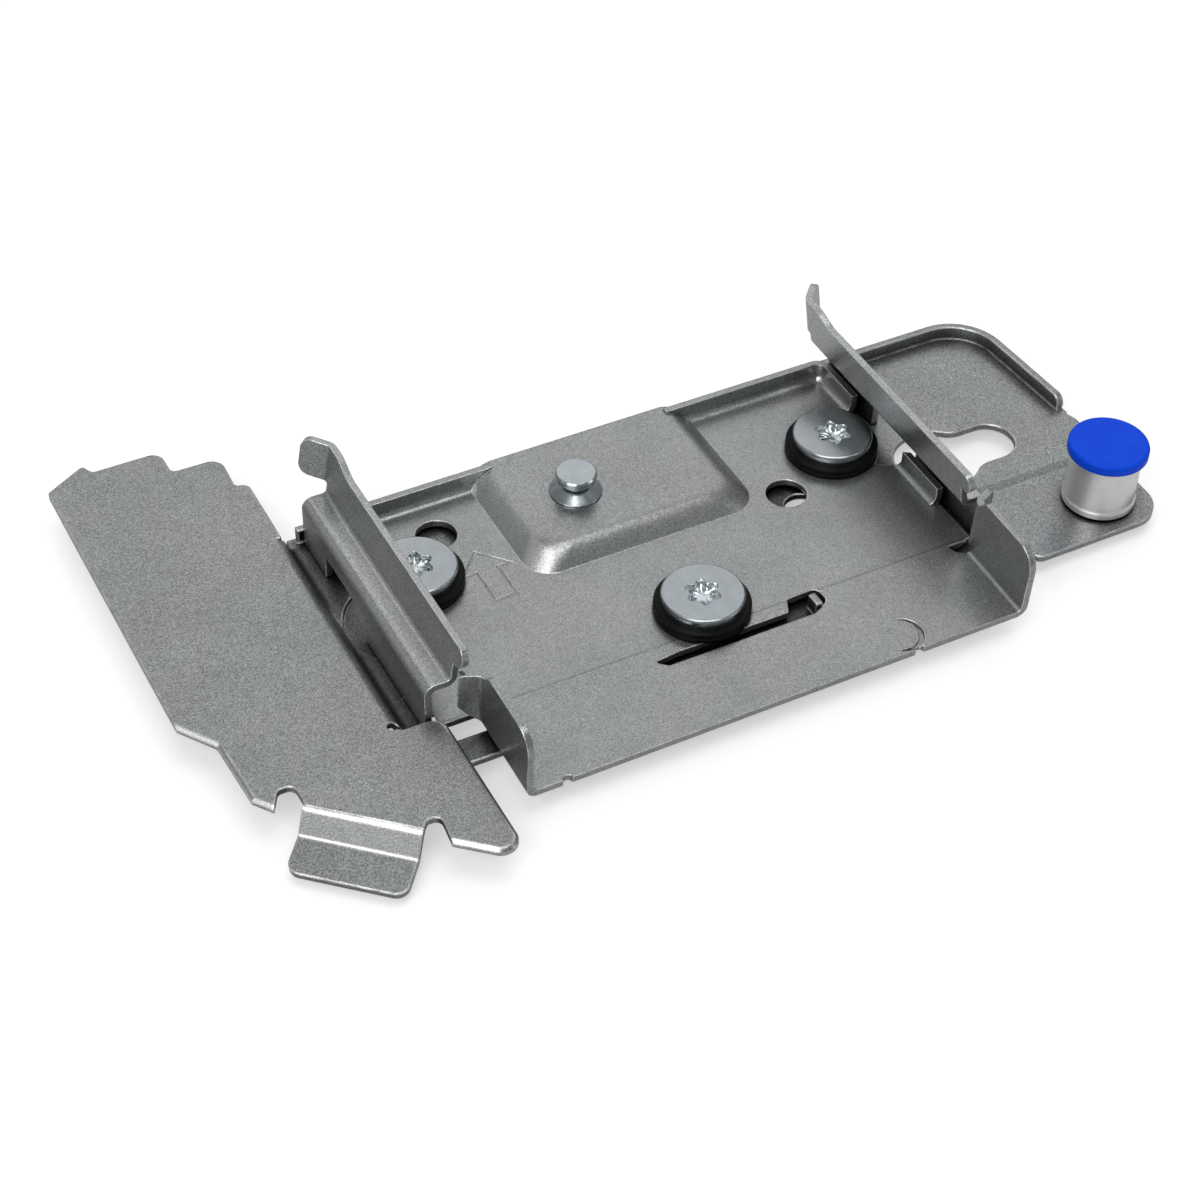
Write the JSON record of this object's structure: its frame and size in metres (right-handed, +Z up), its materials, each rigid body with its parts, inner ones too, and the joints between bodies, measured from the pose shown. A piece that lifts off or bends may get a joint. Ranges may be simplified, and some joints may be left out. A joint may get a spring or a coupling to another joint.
{
  "type": "server fan cage bracket",
  "caption": "Folded sheet steel bracket with side rails, raised deck, keyhole base, rubber mounted screws and a spring plunger.",
  "frame": {"origin": "axis of the middle shoulder screw at the top face of the deck plate", "axes": "+X along the bracket towards the plunger, +Y towards the rear rim, +Z up, square to the deck plate"},
  "size_m": [0.1161, 0.0734, 0.0157],
  "materials": {
    "deck_steel": "galvanised sheet, fine grain, satin",
    "base_steel": "galvanised sheet, coarser sparkle, satin",
    "rail_steel": "galvanised sheet, satin",
    "zinc_screw": "bright zinc, smooth, slightly blue",
    "nut_steel": "bright zinc, turned",
    "zinc_stud": "bright zinc, smooth",
    "pin_steel": "ground steel",
    "spring_steel": "drawn wire",
    "knob_metal": "matt silver",
    "blue_plastic": "blue, satin top",
    "rubber": "black, slightly glossy"
  },
  "bodies": {
    "bracket": {"deck_plate": "deck_steel", "base_plate": "base_steel", "left_rail": "rail_steel", "right_rail": "rail_steel", "shoulder_screws": "zinc_screw", "clinch_nuts": "nut_steel", "guide_stud": "zinc_stud", "plunger_ferrule": "nut_steel", "grommet_left": "rubber", "grommet_centre": "rubber", "grommet_right": "rubber"},
    "plunger": {"plunger_pin": "pin_steel", "plunger_knob": "knob_metal", "plunger_cap": "blue_plastic", "plunger_spring": "spring_steel"}
  },
  "joints": [
    {"name": "plunger_lift", "type": "slide", "parent": "bracket", "child": "plunger", "axis": [0, 0, 1], "range_m": [0, 0.0018], "stiffness_N_per_m": 1200, "springref_m": -0.004, "deforming": ["plunger_spring"]}
  ]
}
